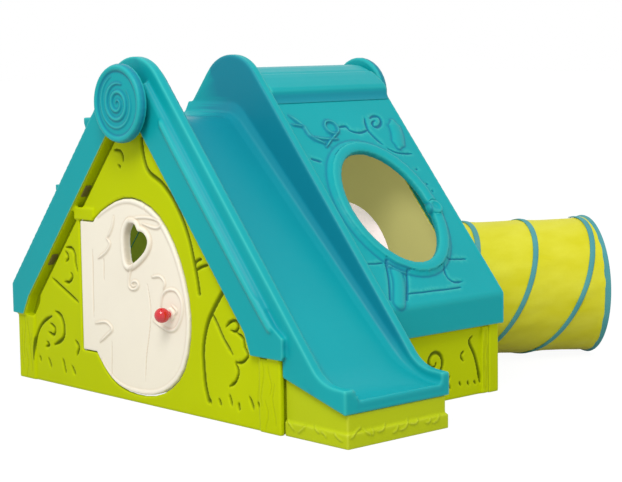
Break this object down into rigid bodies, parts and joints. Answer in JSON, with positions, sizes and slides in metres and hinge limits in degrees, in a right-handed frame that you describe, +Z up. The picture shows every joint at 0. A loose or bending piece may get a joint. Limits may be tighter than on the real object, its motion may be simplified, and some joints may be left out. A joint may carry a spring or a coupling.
{
  "type": "playhouse with slide",
  "caption": "Steep-roofed toddler playhouse with a slide over its front half, climbing steps, a hinged egg-shaped door with a heart cut-out, round roof windows and a pop-up crawl tunnel",
  "frame": {"origin": "middle of the front gable wall's bottom edge, on the ground", "axes": "+Z up; +Y from the door to the rear gable and the tunnel, so the door faces -Y; +X towards the foot of the slide"},
  "size_m": [1.681, 1.8931, 1.0933],
  "materials": {
    "blue_plastic": "moulded polyethylene, satin gloss",
    "green_plastic": "moulded polyethylene, satin gloss, in relief like planks",
    "base_green_plastic": "moulded polyethylene, satin gloss",
    "cream_plastic": "moulded polyethylene, soft satin",
    "red_plastic": "moulded plastic, high gloss",
    "zinc_steel": "zinc plated",
    "yellow_fabric": "thin woven polyester",
    "teal_binding": "woven binding tape over spring wire"
  },
  "bodies": {
    "house": {"base_screw_1": "zinc_steel", "base_screw_2": "zinc_steel", "climbing_panel": "blue_plastic", "corner_screw_front_left": "zinc_steel", "corner_screw_front_right": "zinc_steel", "corner_screw_rear_left": "zinc_steel", "corner_screw_rear_right": "zinc_steel", "front_gable": "green_plastic", "front_rosette": "blue_plastic", "front_rosette_screw": "zinc_steel", "hinge_pin_bottom": "zinc_steel", "hinge_pin_top": "zinc_steel", "left_roof_panel": "blue_plastic", "left_side_wall": "green_plastic", "rear_gable": "green_plastic", "rear_rosette": "blue_plastic", "rear_rosette_screw": "zinc_steel", "ridge_cap": "blue_plastic", "right_roof_panel": "blue_plastic", "right_side_wall": "green_plastic", "roof_clip_front_left_1": "blue_plastic", "roof_clip_front_left_2": "blue_plastic", "roof_clip_front_right_1": "blue_plastic", "roof_clip_front_right_2": "blue_plastic", "roof_clip_rear_left_1": "blue_plastic", "roof_clip_rear_left_2": "blue_plastic", "roof_clip_rear_right_1": "blue_plastic", "roof_clip_rear_right_2": "blue_plastic", "slide": "blue_plastic", "slide_base": "base_green_plastic", "strap_stud_left": "zinc_steel", "strap_stud_right": "zinc_steel", "strap_stud_top": "zinc_steel", "tunnel_collar": "yellow_fabric", "tunnel_mouth_hoop": "teal_binding", "tunnel_spring": "teal_binding", "tunnel_strap_left": "yellow_fabric", "tunnel_strap_right": "yellow_fabric", "tunnel_strap_top": "yellow_fabric", "tunnel_tube": "yellow_fabric"},
    "door": {"door": "cream_plastic", "door_knob": "red_plastic", "knob_screw": "zinc_steel"},
    "tunnel_end": {"tunnel_end_hoop": "teal_binding"}
  },
  "joints": [
    {"name": "door_hinge", "type": "hinge", "parent": "house", "child": "door", "pos_m": [-0.299, 0.001, 0.3505], "axis": [0, 0, -1], "range_deg": [0, 100]},
    {"name": "tunnel_collapse", "type": "slide", "parent": "house", "child": "tunnel_end", "axis": [-0.4848, -0.8746, 0], "range_m": [0, 0.6], "stiffness_N_per_m": 30, "deforming": ["tunnel_tube", "tunnel_spring"]}
  ]
}
